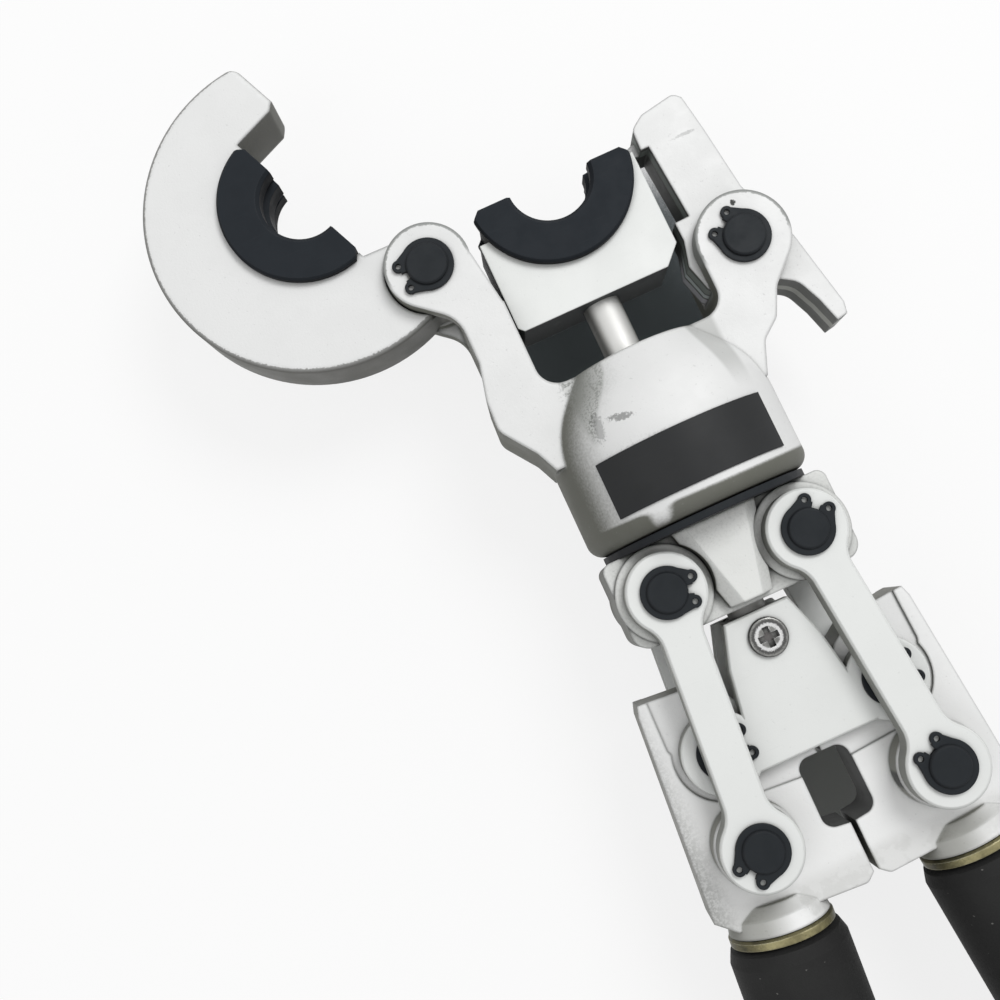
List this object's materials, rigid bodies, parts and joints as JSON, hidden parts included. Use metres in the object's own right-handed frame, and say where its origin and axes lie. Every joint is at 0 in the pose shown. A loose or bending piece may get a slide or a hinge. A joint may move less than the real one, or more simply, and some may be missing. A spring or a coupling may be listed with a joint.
{
  "type": "hand pipe press pliers",
  "caption": "Manual toggle press tool that squeezes a sleeve onto a pipe between a ram die and a die in a swing-open jaw, with a spring latch, swivelling head and long rubber grips.",
  "frame": {"origin": "centre of the lower die's bore at mid thickness, ram fully forward", "axes": "+Z along the pressed pipe, out of the pictured face; +Y from the handles towards the jaw; +X to the latch side"},
  "size_m": [0.1978, 0.619, 0.0725],
  "materials": {
    "forged_zinc": "zinc plated forging, satin, slightly mottled skin",
    "machined_zinc": "zinc plated machined steel, satin with fine grain",
    "black_oxide": "black oxide steel, low sheen",
    "die_black": "hardened die steel, black oxide, satin",
    "bright_rod": "ground round bar, bright",
    "chrome_screw": "bright plated screw with cross recess",
    "spring_wire": "drawn spring wire, bright",
    "yellow_zinc": "yellow passivated zinc",
    "tube_steel": "drawn steel tube, zinc plated",
    "grip_rubber": "black foam rubber, matt, a little dusty",
    "plug_plastic": "black moulded plastic",
    "label_black": "thin black plate, bare"
  },
  "bodies": {
    "block": {"link_block": "forged_zinc", "swivel_spindle": "black_oxide", "left_block_pin": "black_oxide", "right_block_pin": "black_oxide", "block_clips": "black_oxide"},
    "head": {"head_frame": "forged_zinc", "swivel_snap_ring": "spring_wire", "label_plate": "label_black", "jaw_pin": "black_oxide", "latch_pin": "black_oxide", "ear_clips": "black_oxide"},
    "jaw": {"jaw": "forged_zinc", "upper_die": "die_black"},
    "ram": {"die_ram": "machined_zinc", "lower_die": "die_black", "ram_snap_ring": "spring_wire"},
    "latch": {"latch_arm": "forged_zinc", "latch_spring": "spring_wire"},
    "yoke": {"yoke_core": "machined_zinc", "yoke_front_plate": "machined_zinc", "yoke_rear_plate": "machined_zinc", "yoke_screws": "chrome_screw", "plunger_rod": "bright_rod", "left_yoke_pin": "black_oxide", "right_yoke_pin": "black_oxide", "yoke_clips": "black_oxide"},
    "left_links": {"left_front_link": "machined_zinc", "left_rear_link": "machined_zinc"},
    "right_links": {"right_front_link": "machined_zinc", "right_rear_link": "machined_zinc"},
    "left_lever": {"left_lever_head": "forged_zinc", "left_knee_pin": "black_oxide", "left_knee_clips": "black_oxide", "left_collar": "yellow_zinc", "left_handle_tube": "tube_steel", "left_grip": "grip_rubber", "left_end_plug": "plug_plastic"},
    "right_lever": {"right_lever_head": "forged_zinc", "right_knee_pin": "black_oxide", "right_knee_clips": "black_oxide", "right_collar": "yellow_zinc", "right_handle_tube": "tube_steel", "right_grip": "grip_rubber", "right_end_plug": "plug_plastic"}
  },
  "joints": [
    {"name": "head_swivel", "type": "hinge", "parent": "block", "child": "head", "pos_m": [0, -0.1135, 0], "axis": [0, 1, 0], "continuous": true},
    {"name": "jaw_hinge", "type": "hinge", "parent": "head", "child": "jaw", "pos_m": [-0.045, -0.01, 0], "axis": [0, 0, 1], "range_deg": [-113.5, 0]},
    {"name": "latch_hinge", "type": "hinge", "parent": "head", "child": "latch", "pos_m": [0.0455, -0.0425, 0], "axis": [0, 0, 1], "range_deg": [-33.1, 0]},
    {"name": "ram_slide", "type": "slide", "parent": "head", "child": "ram", "axis": [0, -1, 0], "range_m": [0, 0.0086]},
    {"name": "yoke_slide", "type": "slide", "parent": "block", "child": "yoke", "axis": [0, -1, 0], "range_m": [0, 0.0086]},
    {"name": "left_link_hinge", "type": "hinge", "parent": "block", "child": "left_links", "pos_m": [-0.0222, -0.13, 0], "axis": [0, 0, 1], "range_deg": [-18.6, 0]},
    {"name": "right_link_hinge", "type": "hinge", "parent": "block", "child": "right_links", "pos_m": [0.0222, -0.13, 0], "axis": [0, 0, 1], "range_deg": [0, 18.6]},
    {"name": "left_lever_hinge", "type": "hinge", "parent": "left_links", "child": "left_lever", "pos_m": [-0.02859, -0.20573, 0], "axis": [0, 0, 1], "range_deg": [-42.65, 0]},
    {"name": "right_lever_hinge", "type": "hinge", "parent": "right_links", "child": "right_lever", "pos_m": [0.02859, -0.20573, 0], "axis": [0, 0, 1], "range_deg": [0, 42.6]}
  ],
  "couplings": [
    {"joint": "latch_hinge", "follows": "jaw_hinge", "ratio": 0.2907},
    {"joint": "left_lever_hinge", "follows": "right_lever_hinge", "ratio": -1},
    {"joint": "right_link_hinge", "follows": "right_lever_hinge", "ratio": 0.434},
    {"joint": "left_link_hinge", "follows": "right_lever_hinge", "ratio": -0.434},
    {"joint": "yoke_slide", "follows": "right_lever_hinge", "m_per_rad": 0.0114},
    {"joint": "ram_slide", "follows": "right_lever_hinge", "m_per_rad": 0.0114}
  ]
}
